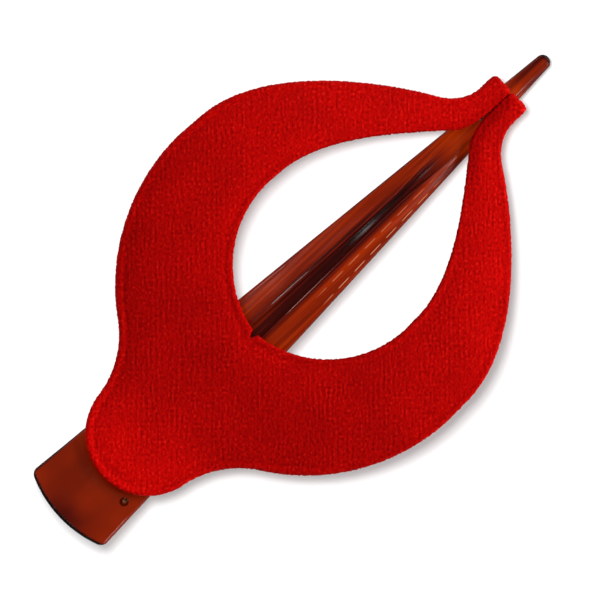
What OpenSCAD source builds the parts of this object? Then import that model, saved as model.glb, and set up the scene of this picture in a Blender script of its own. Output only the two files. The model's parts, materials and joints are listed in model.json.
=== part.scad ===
// Hair clip: one open fabric-covered petal glued along a long sprung beak clip.
// X runs from the thumb tab to the beak's tip, Y across, Z up. The clip lies closed on its
// lower jaw, with the origin under the middle of its length.

/* [Clip] */
// Length of the clip, from the thumb tab's rear edge to the beak's tip
clip_len = 131; // [128:1:133]
// Half width of the jaws at the tab's rear corners
tab_half_w = 9.9; // [9.6:0.1:10.4]
// Half width of the jaws where the two tapers meet
waist_half_w = 7.4; // [7.2:0.1:7.8]
// Half width of the jaws at the tip
tip_half_w = 1.5; // [1.4:0.1:1.8]
// Thickness of the jaws' side walls
wall_t = 1.5; // [1.3:0.1:1.6]
// Thickness of the upper jaw's roof and of its tab
roof_t = 1.8; // [1.6:0.1:2]
// Depth of the upper jaw's side walls below its top line
jaw_depth = 3.2; // [2.9:0.1:3.6]
// Thickness of the lower jaw's floor and of its tab
floor_t = 1.7; // [1.5:0.1:1.8]
// How far the lower jaw bows up between its two resting ends
bow = 3; // [1:0.5:3]

/* [Hinge and spring] */
// Distance from the tab's rear edge to the hinge pin
tab_len = 29.5; // [29:0.5:30]
// Height of the hinge pin's axis
pin_z = 7.8; // [7.6:0.1:8]
// Radius of the hinge pin
pin_r = 1; // [0.8:0.05:1.1]
// Wire diameter of the torsion spring
wire_d = 0.9; // [0.7:0.1:0.9]
// Number of full turns in the torsion spring's coil
coil_turns = 4; // [3:1:4]

/* [Petal] */
// Radius of the petal's rear lobe
lobe_r = 12.2; // [12:0.1:12.4]
// Radius of the round part of the petal's outline
body_r = 40.9; // [40.5:0.1:41.3]
// Radius of the round part of the petal's opening
hole_r = 22.2; // [21.8:0.1:22.6]
// Thickness of the stiff board
board_t = 1; // [0.8:0.1:1.2]
// Thickness of the wadding over the board
wadding_t = 1; // [0.8:0.1:1.2]
// Thickness of the crepe fabric
cloth_t = 0.5; // [0.4:0.05:0.6]
// Width of the crepe turned under the board's edge
hem_w = 4; // [3:0.5:4.5]

/* [Hidden] */
$fn = 48;

rear_x = -clip_len / 2;
tip_x = clip_len / 2;
pin_x = rear_x + tab_len;
waist_x = -18;
step = 2.5;                 // every curved height line is drawn in straight steps this long
reach = 30;                 // longer than the clip is wide or high, for cutting shapes

// Clip outline: a shallow arc at the rear, two straight tapers, a round tip
rear_arc_r = 24;
corner_r = 1.1;
rear_arc_x = rear_x + rear_arc_r;
corner_y = tab_half_w - corner_r;
corner_x = rear_arc_x - sqrt(pow(rear_arc_r - corner_r, 2) - pow(corner_y, 2));
corner_a = atan2(corner_y, corner_x - rear_arc_x);

// Top line of the upper jaw, as [x, height, slope] at the tab's end, over the pin, at the
// crest and at the tip
tab_knot = [rear_x, 19, -0.34];
valley_knot = [pin_x - 1, 13.5, 0];
crest_knot = [-4, 17, 0];
tip_knot = [tip_x, 4.6, -0.2];

// Lower jaw: it rests on its tab and its tip, and bows up between them
bow_start_x = -45;
bow_end_x = 60;
rim_h = 0.7;                // height of its side walls above its floor
lower_inset = 0.4;          // it is narrower than the upper jaw by this much all round
tip_gap = 0.12;             // clearance between the closed jaws where they meet

// Hinge: the upper jaw's lugs stand outside the lower jaw's ears
lug_r = 3.4;
ear_r = 2.9;
ear_out_y = 6.4;
ear_in_y = 5.1;
fixed_bore_r = pin_r + 0.02;
turning_bore_r = pin_r + 0.06;
pin_len = 16.4;

// Hollows inside the jaws
roof_hollow = [-47, 52];
floor_hollow = [-26, 50];
floor_wall_t = 1.1;

// Teeth: two rows under the upper jaw, one row between them on the lower jaw
teeth = 12;
tooth_pitch = 4.3;
tooth_len = 2.8;
tooth_drop = 1.4;
tooth_root = 0.5;
mid_tooth_x = 3;
mid_tooth_len = 2;
mid_tooth_rise = 2.6;

// Groove along the beak's top
groove = [-16, 38];
groove_half_w = [1.5, 0.6];
groove_depth = 0.7;

// Torsion spring: a coil round the pin, a leg on the lower tab and a leg whose end turns up
// into a hole in the upper tab
spring_hole = [rear_x + 11.1, -6.5];
spring_hole_r = 0.9;
coil_r = pin_r + 0.35 + wire_d / 2;
coil_half = (coil_turns + 0.5) * (wire_d + 0.12) / 2;
rings_per_turn = 16;
wire_sides = 8;

// Petal outline
lobe_c = [-41.8, 0];
neck_r = 19.4;
body_c = [2.9, -2.8];
shoulder = [44.2, 9.2];
arm_half_w = 4.7;
arm_end_x = 55.5;
slit = 0.15;
hole_c = [8.7, -2.7];
crook = [42.6, 1.7];
notch_x = -14.8;

// Petal layers, as heights above its back
glue_t = 0.5;
lining_t = 0.4;
lining_inset = 0.8;
board_z = lining_t + cloth_t;
wadding_z = board_z + board_t;
skin_z = wadding_z + wadding_t;
petal_t = skin_z + cloth_t;
arch_h = 1.2;               // the petal stands this much further off the beak at mid-opening
arch = [-13, 46];
rear_pad = [-50, -17];
rear_pad_half_w = 6;
tip_pad = [47, 54.5];
tip_pad_half_w = 1.9;

// ---- Height lines ----

// Height of the cubic that joins two knots [x, height, slope]
function cubic(a, b, x) =
  let (w = b[0] - a[0], t = (x - a[0]) / w)
  a[1] * (2 * pow(t, 3) - 3 * pow(t, 2) + 1) + b[1] * (3 * pow(t, 2) - 2 * pow(t, 3))
  + w * a[2] * (pow(t, 3) - 2 * pow(t, 2) + t) + w * b[2] * (pow(t, 3) - pow(t, 2));

function top_curve(x) =
  x < valley_knot[0] ? cubic(tab_knot, valley_knot, x)
  : x < crest_knot[0] ? cubic(valley_knot, crest_knot, x)
  : cubic(crest_knot, tip_knot, x);

// A smooth hump of height 1 between the two places in ends, 0 outside them
function hump(x, ends) =
  x < ends[0] || x > ends[1] ? 0 : pow(sin(180 * (x - ends[0]) / (ends[1] - ends[0])), 2);

// A curve drawn in straight steps, so that layers with different ends still share faces
function stepped(curve, x) =
  let (a = step * floor(x / step), k = (x - a) / step)
  curve(a) * (1 - k) + curve(a + step) * k;

top_z = function (x) stepped(function (s) top_curve(s), x);
low_z = function (x) stepped(function (s) bow * hump(s, [bow_start_x, bow_end_x]), x);
rim_z = function (x) low_z(x) + floor_t + rim_h;
wall_z = function (x) max(top_z(x) - jaw_depth, rim_z(x) + tip_gap);
petal_z = function (x) stepped(function (s) top_curve(s) + arch_h * hump(s, arch), x) + glue_t;
function raised(line, dz) = function (x) line(x) + dz;

function stations(ends) =
  concat([ends[0]],
         [for (i = [ceil((ends[0] + 0.01) / step):floor((ends[1] - 0.01) / step)]) i * step],
         [ends[1]]);

// ---- Outlines ----

function half_w(x) =
  x < waist_x
  ? tab_half_w + (waist_half_w - tab_half_w) * (x - corner_x) / (waist_x - corner_x)
  : waist_half_w + (tip_half_w - waist_half_w) * (x - waist_x) / (tip_x - tip_half_w - waist_x);

function arc(c, r, a0, a1, n) =
  [for (i = [0:n]) let (a = a0 + (a1 - a0) * i / n) c + r * [cos(a), sin(a)]];

function bezier(a, b, c, d, n) =
  [for (i = [0:n]) let (t = i / n, s = 1 - t)
    pow(s, 3) * a + 3 * s * s * t * b + 3 * s * t * t * c + pow(t, 3) * d];

// Where two circles meet, on the +Y side
function meet(c0, r0, c1, r1) =
  let (d = norm(c1 - c0), u = (c1 - c0) / d, a = (d * d + r0 * r0 - r1 * r1) / (2 * d))
  c0 + a * u + sqrt(r0 * r0 - a * a) * [-u[1], u[0]];

function angle_to(c, p) = atan2(p[1] - c[1], p[0] - c[0]);

// Closes a half outline, drawn from -X to +X on the +Y side, with its mirror image
function closed(half) =
  concat(half, [for (i = [len(half) - 1:-1:0]) if (half[i][1] > 0.01) [half[i][0], -half[i][1]]]);

// Moves each point of such an outline inwards by d
function inset(pts, d) =
  [for (i = [0:len(pts) - 1])
    let (n = len(pts), a = pts[(i + n - 1) % n], b = pts[(i + 1) % n], t = (b - a) / norm(b - a))
    pts[i] + d * [t[1], -t[0]]];

clip_outline = closed(concat(
  arc([rear_arc_x, 0], rear_arc_r, 180, corner_a + 2, 6),
  arc([corner_x, corner_y], corner_r, corner_a - 15, 95, 4),
  [[waist_x, waist_half_w]],
  arc([tip_x - tip_half_w, 0], tip_half_w, 86, 0, 6)));

neck_c = meet(lobe_c, lobe_r + neck_r, body_c, body_r + neck_r);
neck_a = angle_to(lobe_c, neck_c);
flank_a = angle_to(body_c, neck_c);

// The outer edge from the lobe to the shoulder and the arm's end, then back along the slit
// and the opening to the notch
petal_outline = closed(concat(
  arc(lobe_c, lobe_r, 180, neck_a + 5, 7),
  arc(neck_c, neck_r, neck_a - 180, flank_a - 180, 6),
  arc(body_c, body_r, flank_a - 4, 90, 11),
  bezier(body_c + [4, body_r - 0.2], [22, 38], [36.8, 21.1], shoulder, 10),
  bezier(shoulder + [1.1, -1.6], [47.2, 5.4], [49, 4.9], [51, arm_half_w], 4),
  arc([arm_end_x - 1.2, arm_half_w - 1.2], 1.2, 90, 0, 3),
  arc([arm_end_x - 1, slit + 1], 1, 0, -90, 3),
  [[46, slit]],
  bezier(crook, [33.5, 9.4], [22, 19.5], hole_c + [2, hole_r - 0.1], 10),
  arc(hole_c, hole_r, 90, 172, 9),
  [[notch_x, 0]]));

// The part of the petal's back that the turned-under crepe leaves bare
bare_outline = closed(concat(
  arc(lobe_c, lobe_r - hem_w, 180, neck_a + 8, 6),
  arc(neck_c, neck_r + hem_w, neck_a - 180, flank_a - 180, 6),
  arc(body_c, body_r - hem_w, flank_a - 4, 60, 12),
  arc(hole_c, hole_r + hem_w, 60, 172, 12),
  [[notch_x - hem_w, 0]]));

groove_outline = [[groove[0], -groove_half_w[0]], [groove[1], -groove_half_w[1]],
                  [groove[1], groove_half_w[1]], [groove[0], groove_half_w[0]]];

// ---- Building blocks ----

module prism(outline) translate([0, 0, -1]) linear_extrude(height = reach) polygon(outline);

// Extrudes a side profile, drawn with X to the right and Z up, across Y
module across(half) rotate([90, 0, 0]) linear_extrude(height = 2 * half, center = true) children();

// The band between two height lines
module band(ends, low, high) {
  xs = stations(ends);
  across(2 * reach) polygon(concat(
    [for (x = xs) [x, low(x)]],
    [for (i = [len(xs) - 1:-1:0]) [xs[i], high(xs[i])]]));
}

module layer(outline, ends, z0, z1) {
  intersection() {
    prism(outline);
    band(ends, raised(petal_z, z0), raised(petal_z, z1));
  }
}

// A tapering bracket from a flat root to the pin's height, with a round end about the pin
module bracket(root_x0, root_x1, root_z, r, half) {
  across(half) polygon([[root_x0, root_z], [pin_x - r, pin_z], [pin_x + r, pin_z], [root_x1, root_z]]);
  across(half) translate([pin_x, pin_z]) circle(r = r);
}

module bore(r) across(reach) translate([pin_x, pin_z]) circle(r = r);

// ---- Sub-parts ----

module upper_teeth() {
  for (i = [0:teeth - 1], side = [-1, 1]) {
    mid = i * tooth_pitch + tooth_len / 2;
    inner = 0.42 * half_w(mid);
    width = half_w(mid) - wall_t + 0.3 - inner;
    low = wall_z(mid) - tooth_drop;
    high = top_z(mid) - roof_t + tooth_root;
    translate([mid, side * (inner + width / 2), (low + high) / 2])
      cube([tooth_len, width, high - low], center = true);
  }
}

module upper_jaw() color([0.42, 0.13, 0.05]) {
  difference() {
    intersection() {
      prism(clip_outline);
      union() {
        band([rear_x - 1, pin_x - 8], raised(top_z, -roof_t), top_z);
        band([pin_x - 9, tip_x + 1], wall_z, top_z);
        bracket(pin_x - 10, pin_x + 11, valley_knot[1] - 1.2, lug_r, reach);
      }
    }
    intersection() {
      prism(inset(clip_outline, wall_t));
      band(roof_hollow, function (x) 0, raised(top_z, -roof_t));
    }
    intersection() {
      prism(groove_outline);
      band(groove, raised(top_z, -groove_depth), raised(top_z, 1));
    }
    bore(fixed_bore_r);
    translate([spring_hole[0], spring_hole[1], 0]) cylinder(r = spring_hole_r, h = reach);
  }
  upper_teeth();
}

module lower_jaw() color([0.36, 0.11, 0.04]) {
  outline = inset(clip_outline, lower_inset);
  difference() {
    union() {
      intersection() {
        prism(outline);
        union() {
          band([rear_x, floor_hollow[0]], low_z, raised(low_z, floor_t));
          band([floor_hollow[0] - 2, tip_x], low_z, rim_z);
        }
      }
      difference() {
        bracket(pin_x - 5, pin_x + 5, floor_t - 0.5, ear_r, ear_out_y);
        translate([pin_x, 0, 0]) cube([reach, 2 * ear_in_y, reach], center = true);
      }
    }
    intersection() {
      prism(inset(outline, floor_wall_t));
      band(floor_hollow, raised(low_z, floor_t), raised(low_z, reach));
    }
    bore(turning_bore_r);
  }
  for (i = [0:teeth - 2]) {
    mid = mid_tooth_x + i * tooth_pitch;
    translate([mid, 0, low_z(mid) + floor_t + (mid_tooth_rise - tooth_root) / 2])
      cube([mid_tooth_len, 0.56 * half_w(mid), mid_tooth_rise + tooth_root], center = true);
  }
}

module hinge_pin() color("silver") {
  across(pin_len / 2) translate([pin_x, pin_z]) circle(r = pin_r);
}

// The wire's centre line: lower leg, coil, upper leg
wire_path = concat(
  [[pin_x - 16, 4.6, floor_t + wire_d / 2 + 0.1], [pin_x - 8, coil_half + 1, 4.2]],
  [for (i = [0:rings_per_turn * (coil_turns + 0.5)])
    let (a = -90 + 360 * i / rings_per_turn,
         y = coil_half * (1 - 2 * i / (rings_per_turn * (coil_turns + 0.5))))
    [pin_x + coil_r * cos(a), y, pin_z + coil_r * sin(a)]],
  [[pin_x - 8, -coil_half - 1, 11], [spring_hole[0] + 1.4, spring_hole[1] + 0.2, 12.9],
   [spring_hole[0] + 0.4, spring_hole[1] + 0.05, 13.4],
   [spring_hole[0], spring_hole[1], 14], [spring_hole[0], spring_hole[1], 15]]);

// Sweeps a round wire along a path whose direction is never along Y
module wire(path, r, sides) {
  n = len(path);
  rings = [for (i = [0:n - 1])
    let (d = path[min(i + 1, n - 1)] - path[max(i - 1, 0)],
         t = d / norm(d), c = cross(t, [0, 1, 0]), v = c / norm(c), u = cross(v, t))
    for (k = [0:sides - 1]) path[i] + r * (cos(360 * k / sides) * u + sin(360 * k / sides) * v)];
  sides_faces = [for (i = [0:n - 2], k = [0:sides - 1])
    let (a = i * sides + k, b = i * sides + (k + 1) % sides) each
    [[a, b, b + sides], [a, b + sides, a + sides]]];
  polyhedron(rings, concat(sides_faces,
    [[for (k = [sides - 1:-1:0]) k]], [[for (k = [0:sides - 1]) (n - 1) * sides + k]]));
}

module torsion_spring() color("gainsboro") wire(wire_path, wire_d / 2, wire_sides);

module glue_pad(ends, half) {
  intersection() {
    translate([ends[0], -half, 0]) cube([ends[1] - ends[0], 2 * half, reach]);
    band(ends, top_z, petal_z);
  }
}

module glue_pad_rear() color("wheat") glue_pad(rear_pad, rear_pad_half_w);

module glue_pad_tip() color("wheat") glue_pad(tip_pad, tip_pad_half_w);

petal_ends = [lobe_c[0] - lobe_r - 1, arm_end_x + 1];

module petal_lining() color([0.55, 0.03, 0.03]) {
  layer(inset(petal_outline, lining_inset), petal_ends, 0, lining_t);
}

module petal_board() color("lightgray") {
  layer(inset(petal_outline, cloth_t), petal_ends, board_z, wadding_z);
}

module petal_wadding() color("white") {
  layer(inset(petal_outline, cloth_t), petal_ends, wadding_z, skin_z);
}

module petal_cover() color([0.78, 0.04, 0.04]) {
  difference() {
    layer(petal_outline, petal_ends, lining_t, petal_t);
    layer(inset(petal_outline, cloth_t), petal_ends, board_z, skin_z);
    layer(bare_outline, petal_ends, 0, board_z + 0.1);
  }
}

upper_jaw();
lower_jaw();
hinge_pin();
torsion_spring();
glue_pad_rear();
glue_pad_tip();
petal_lining();
petal_board();
petal_wadding();
petal_cover();
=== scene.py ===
import json
import math

import bmesh
import bpy
import numpy as np
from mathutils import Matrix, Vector, noise
from mathutils.bvhtree import BVHTree
from mathutils.geometry import delaunay_2d_cdt

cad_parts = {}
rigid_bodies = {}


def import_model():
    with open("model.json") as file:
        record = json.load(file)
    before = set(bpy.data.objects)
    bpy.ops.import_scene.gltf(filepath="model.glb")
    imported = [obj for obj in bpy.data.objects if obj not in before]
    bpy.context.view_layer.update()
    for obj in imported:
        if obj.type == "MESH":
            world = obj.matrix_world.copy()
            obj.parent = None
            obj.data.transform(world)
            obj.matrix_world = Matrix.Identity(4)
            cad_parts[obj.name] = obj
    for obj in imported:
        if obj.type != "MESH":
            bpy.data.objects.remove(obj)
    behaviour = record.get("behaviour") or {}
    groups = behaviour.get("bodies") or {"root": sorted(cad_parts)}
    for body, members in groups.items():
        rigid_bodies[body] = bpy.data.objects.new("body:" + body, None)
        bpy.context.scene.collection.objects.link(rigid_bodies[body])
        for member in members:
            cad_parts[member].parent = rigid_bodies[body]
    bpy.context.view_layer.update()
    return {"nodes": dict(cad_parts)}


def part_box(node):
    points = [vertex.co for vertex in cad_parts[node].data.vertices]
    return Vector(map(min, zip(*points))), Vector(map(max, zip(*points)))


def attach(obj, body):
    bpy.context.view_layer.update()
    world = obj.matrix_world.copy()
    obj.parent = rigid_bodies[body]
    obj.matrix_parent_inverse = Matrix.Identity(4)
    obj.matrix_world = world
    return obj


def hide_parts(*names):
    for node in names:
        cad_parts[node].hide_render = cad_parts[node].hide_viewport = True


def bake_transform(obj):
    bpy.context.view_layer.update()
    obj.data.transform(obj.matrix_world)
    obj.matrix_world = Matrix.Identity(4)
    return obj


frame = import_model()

MM = 0.001

# --- Sizes in millimetres ---
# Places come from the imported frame; the profile and the petal's outline repeat the CAD design.


def box_mm(node):
    low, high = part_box(node)
    return np.array(low) / MM, np.array(high) / MM


JAW_LOW, JAW_HIGH = box_mm("upper_jaw")
PIN_LOW, PIN_HIGH = box_mm("hinge_pin")
REAR_X, TIP_X = JAW_LOW[0], JAW_HIGH[0]
PIN_X, PIN_Z = (PIN_LOW[0] + PIN_HIGH[0]) / 2, (PIN_LOW[2] + PIN_HIGH[2]) / 2
PIN_R, PIN_HALF = (PIN_HIGH[2] - PIN_LOW[2]) / 2, PIN_HIGH[1]

# Jaws
TAB_HALF_W, WAIST_HALF_W, TIP_HALF_W = 9.9, 7.4, 1.5
WAIST_X, CORNER_X, REAR_ARC_R, CORNER_R = -18.0, -62.6, 24.0, 1.1
ROOF_T, WALL_T, JAW_DEPTH = 1.8, 1.5, 3.2
FLOOR_T, RIM_H, FLOOR_WALL_T, LOWER_INSET, TIP_GAP = 1.7, 0.7, 1.1, 0.4, 0.12
BOW, BOW_ENDS = 3.0, (-45.0, 60.0)
FLOOR_HOLLOW, RIM_START, GROOVE_CUT = (-26.0, 50.0), -28.0, 0.62
LUG_R, EAR_R, EAR_OUT_Y, EAR_IN_Y = 3.4, 2.9, 6.4, 5.1
BRACKET_ROOT, EAR_ROOT = (-46.0, -25.0, 12.3), (-41.0, -31.0, 1.2)
HOLE_AT, HOLE_R = (REAR_X + 11.1, -6.5), 0.9
TEETH, TOOTH_PITCH, TOOTH_LEN, TOOTH_DROP = 12, 4.3, 2.8, 1.4
MID_TOOTH_X, MID_TOOTH_LEN, MID_TOOTH_RISE, TOOTH_BEVEL = 3.0, 2.0, 2.6, 0.28
FIXED_PLAY, TURNING_PLAY = 0.02, 0.06  # between the pin and the upper and the lower jaw

# Glints of the tooth edges on the beak's flank, as (share of the half width, strength)
GLINT_PITCH, GLINT_ROWS = 4.5, ((0.84, 0.60), (0.53, 0.32))

# Top line of the upper jaw, as (x, height, slope)
TAB_KNOT, VALLEY_KNOT = (REAR_X, 19.0, -0.34), (PIN_X - 1, 13.5, 0.0)
CREST_KNOT, TIP_KNOT = (-4.0, 17.0, 0.0), (TIP_X, 4.6, -0.2)

# Petal outline and layers
LOBE_C, LOBE_R, NECK_R = np.array([-41.8, 0.0]), 12.2, 19.4
BODY_C, BODY_R = np.array([2.9, -2.8]), 40.9
SHOULDER, ARM_HALF_W, ARM_END_X, SLIT = np.array([44.2, 9.2]), 4.7, 55.5, 0.03
OPENING_C, OPENING_R = np.array([8.7, -2.7]), 22.2
CROOK, NOTCH_X = np.array([42.6, 1.7]), -14.8
GLUE_T, LINING_T, LINING_INSET, HEM_W = 0.5, 0.38, 0.8, 4.0
BOARD_TOP = 1.9
ARCH_H, ARCH = 1.2, (-13.0, 46.0)
REAR_PAD, TIP_PAD = (-50.0, -17.0, 6.0), (47.0, 54.5, 1.9)

# Torsion spring
WIRE_R, COIL_R, COIL_TURNS = 0.45, PIN_R + 0.8, 4.5
COIL_HALF = COIL_TURNS * (2 * WIRE_R + 0.12) / 2

# The crepe's ribs run across the clip on the bias of the cloth
RIB_DIR = np.array([0.683, 0.730])
ACROSS_DIR = np.array([0.730, -0.683])
PETAL_REACH = 75  # further than any point of the petal is from the origin


# --- Curves ---


def smooth(low, high, x):
    t = np.clip((np.asarray(x, float) - low) / (high - low), 0, 1)
    return t * t * (3 - 2 * t)


def cubic(a, b, x):
    width = b[0] - a[0]
    t = (x - a[0]) / width
    return (a[1] * (2 * t**3 - 3 * t**2 + 1) + b[1] * (3 * t**2 - 2 * t**3)
            + width * a[2] * (t**3 - 2 * t**2 + t) + width * b[2] * (t**3 - t**2))


def top_line(x):
    x = np.asarray(x, float)
    rear = cubic(TAB_KNOT, VALLEY_KNOT, x)
    middle = cubic(VALLEY_KNOT, CREST_KNOT, x)
    front = cubic(CREST_KNOT, TIP_KNOT, x)
    return np.where(x < VALLEY_KNOT[0], rear, np.where(x < CREST_KNOT[0], middle, front))


def hump(x, ends):
    t = np.clip((np.asarray(x, float) - ends[0]) / (ends[1] - ends[0]), 0, 1)
    return np.sin(math.pi * t) ** 2


def low_line(x):
    return BOW * hump(x, BOW_ENDS)


def petal_line(x):
    """Height of the petal's back."""
    return top_line(x) + ARCH_H * hump(x, ARCH) + GLUE_T


def half_width(x):
    x = np.asarray(x, float)
    tab = TAB_HALF_W + (WAIST_HALF_W - TAB_HALF_W) * (x - CORNER_X) / (WAIST_X - CORNER_X)
    run = TIP_X - TIP_HALF_W - WAIST_X
    beak = WAIST_HALF_W + (TIP_HALF_W - WAIST_HALF_W) * (x - WAIST_X) / run
    return np.where(x < WAIST_X, tab, beak)


def retreat(distance, r):
    """How far a round of radius r stands back from its corner at this distance from the end."""
    t = np.clip(r - np.asarray(distance, float), 0, r)
    return r - np.sqrt(r * r - t * t)


# --- Outlines ---


def arc(centre, r, start, end, n):
    a = np.radians(np.linspace(start, end, n + 1))
    return np.stack([centre[0] + r * np.cos(a), centre[1] + r * np.sin(a)], 1)


def bezier(a, b, c, d, n):
    t = np.linspace(0, 1, n + 1)[:, None]
    s = 1 - t
    a, b, c, d = (np.asarray(p, float) for p in (a, b, c, d))
    return s**3 * a + 3 * s * s * t * b + 3 * s * t * t * c + t**3 * d


def meet(c0, r0, c1, r1):
    """Where two circles meet, on the +Y side."""
    d = np.linalg.norm(c1 - c0)
    u = (c1 - c0) / d
    a = (d * d + r0 * r0 - r1 * r1) / (2 * d)
    return c0 + a * u + math.sqrt(r0 * r0 - a * a) * np.array([-u[1], u[0]])


def angle_to(c, p):
    return math.degrees(math.atan2(p[1] - c[1], p[0] - c[0]))


def mirrored(half):
    """Closes a half outline, drawn from -X to +X on the +Y side, with its mirror image."""
    back = half[::-1]
    return np.concatenate([half, back[back[:, 1] > 0.01] * [1, -1]])


NECK_C = meet(LOBE_C, LOBE_R + NECK_R, BODY_C, BODY_R + NECK_R)
NECK_A, FLANK_A = angle_to(LOBE_C, NECK_C), angle_to(BODY_C, NECK_C)


def inner_edge():
    """The seam between the arms and the edge of the opening, on the +Y side."""
    return np.concatenate([
        bezier([53, SLIT], [49, SLIT], [45.5, 0.1], CROOK, 12),
        bezier(CROOK + [-0.5, 0.45], [33.5, 9.4], [22, 19.5], OPENING_C + [2, OPENING_R - 0.1], 30),
        arc(OPENING_C, OPENING_R, 90, 171, 30),
        [[NOTCH_X, 0]],
    ])


def petal_outline():
    return mirrored(np.concatenate([
        arc(LOBE_C, LOBE_R, 180, NECK_A + 2, 30),
        arc(NECK_C, NECK_R, NECK_A - 180, FLANK_A - 180, 24),
        arc(BODY_C, BODY_R, FLANK_A - 2, 90, 40),
        bezier(BODY_C + [4, BODY_R - 0.2], [22, 38], [36.8, 21.1], SHOULDER, 36),
        bezier(SHOULDER + [0.5, -0.75], [46.4, 6.2], [48.6, 4.9], [51, ARM_HALF_W], 12),
        arc([ARM_END_X - 1.1, ARM_HALF_W - 1.1], 1.1, 90, 0, 6),
        arc([ARM_END_X - 0.8, SLIT + 0.8], 0.8, 0, -90, 6),
        inner_edge(),
    ]))


def bare_outline():
    """The part of the petal's back that the turned-under crepe leaves bare."""
    return mirrored(np.concatenate([
        arc(LOBE_C, LOBE_R - HEM_W, 180, NECK_A + 8, 10),
        arc(NECK_C, NECK_R + HEM_W, NECK_A - 180, FLANK_A - 180, 10),
        arc(BODY_C, BODY_R - HEM_W, FLANK_A - 4, 60, 24),
        arc(OPENING_C, OPENING_R + HEM_W, 60, 172, 24),
        [[NOTCH_X - HEM_W, 0]],
    ]))


def spaced(loop, step):
    """The closed loop with its points this far apart along it."""
    ring = np.concatenate([loop, loop[:1]])
    along = np.concatenate([[0], np.cumsum(np.linalg.norm(np.diff(ring, axis=0), axis=1))])
    at = np.linspace(0, along[-1], int(along[-1] / step) + 1)[:-1]
    return np.stack([np.interp(at, along, c) for c in ring.T], 1)


def full_turn(n):
    return np.linspace(0, 2 * math.pi, n, endpoint=False)


def unit(vectors):
    return vectors / np.linalg.norm(vectors, axis=1)[:, None]


def inset(loop, depth):
    """A loop drawn clockwise, with each of its points moved this far in."""
    along = unit(np.roll(loop, -1, 0) - np.roll(loop, 1, 0))
    return loop + depth * np.stack([along[:, 1], -along[:, 0]], 1)


def in_parts(work, points, n=4000):
    """The work's result for all the points, n at a time, as each one meets a whole loop."""
    return np.concatenate([work(points[i:i + n]) for i in range(0, max(len(points), 1), n)])


def distance_to(loop, points):
    """Distance from each point to the loop's nearest side."""
    side = np.roll(loop, -1, 0) - loop
    length2 = (side**2).sum(1)

    def nearest(some):
        p = some[:, None] - loop[None]
        t = np.clip((p * side).sum(2) / length2, 0, 1)
        return np.sqrt(((p - t[..., None] * side) ** 2).sum(2).min(1))

    return in_parts(nearest, points)


def inside(loop, points):
    (ax, ay), (bx, by) = loop.T, np.roll(loop, -1, 0).T

    def odd_crossings(some):
        x, y = some[:, None, 0], some[:, None, 1]
        with np.errstate(divide="ignore", invalid="ignore"):
            cut = ax + (y - ay) * (bx - ax) / (by - ay)
        return (((ay > y) != (by > y)) & (x < cut)).sum(1) % 2 == 1

    return in_parts(odd_crossings, points)


def within(loop, points, margin):
    """The points that are inside the loop and further than the margin from it."""
    points = points[inside(loop, points)]
    return points[distance_to(loop, points) > margin]


def clear_of(loop, points, margin):
    """The points that are outside the loop and further than the margin from it."""
    return points[~inside(loop, points) & (distance_to(loop, points) > margin)]


def lattice(step_across, step_along):
    """Staggered points over the petal's area, in rows along the ribs."""
    rows, along = (np.arange(-PETAL_REACH, PETAL_REACH, s) for s in (step_across, step_along))
    shift = (np.arange(len(rows)) % 2) * step_along / 2
    b = along[None] + shift[:, None]
    a = np.broadcast_to(rows[:, None], b.shape)
    return a.reshape(-1, 1) * ACROSS_DIR + b.reshape(-1, 1) * RIB_DIR


# --- Mesh building ---


class Shape:
    """Points in millimetres and faces, added in pieces that share points."""

    def __init__(self):
        self.points, self.faces, self.count = [], [], 0

    def add(self, points):
        points = np.asarray(points, float).reshape(-1, 3)
        first = self.count
        self.points.append(points)
        self.count += len(points)
        return np.arange(first, self.count)

    def strip(self, a, b):
        """Quads between two closed rings with the same number of points."""
        a2, b2 = np.roll(a, -1), np.roll(b, -1)
        self.faces += np.stack([a, a2, b2, b], 1).tolist()

    def skin(self, rings):
        """Strips from each ring to the next one."""
        for a, b in zip(rings, rings[1:]):
            self.strip(a, b)

    def triangles(self, faces, ids, flip=False):
        faces = ids[np.asarray(faces)]
        self.faces += (faces[:, ::-1] if flip else faces).tolist()

    def piece(self, name):
        return mesh_piece(name, np.concatenate(self.points), self.faces)


def turn(item, direction, axis):
    item.rotation_mode = "QUATERNION"
    item.rotation_quaternion = direction.to_track_quat(axis, "Y")


def add_object(name, data):
    made = bpy.data.objects.new(name, data)
    bpy.context.scene.collection.objects.link(made)
    return made


def mesh_piece(name, points, faces):
    """A smooth-shaded piece whose faces all point outwards."""
    mesh = bpy.data.meshes.new(name)
    mesh.from_pydata((points * MM).tolist(), [], faces)
    mesh.validate()
    mesh.shade_smooth()
    work = bmesh.new()
    work.from_mesh(mesh)
    bmesh.ops.recalc_face_normals(work, faces=work.faces)
    work.to_mesh(mesh)
    work.free()
    return add_object(name, mesh)


def tool_from(work):
    """An object with the mesh that was built, to join to a piece or cut from it."""
    mesh = bpy.data.meshes.new("tool")
    work.to_mesh(mesh)
    work.free()
    return add_object("tool", mesh)


def read(items, name):
    found = np.empty(len(items) * 3, np.float32)
    items.foreach_get(name, found)
    return found.reshape(-1, 3).astype(float)


def coordinates(piece):
    return read(piece.data.vertices, "co") / MM


def set_attributes(piece, **attributes):
    for name, values in attributes.items():
        made = piece.data.attributes.new(name, "FLOAT", "POINT")
        made.data.foreach_set("value", np.asarray(values, np.float32))


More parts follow.
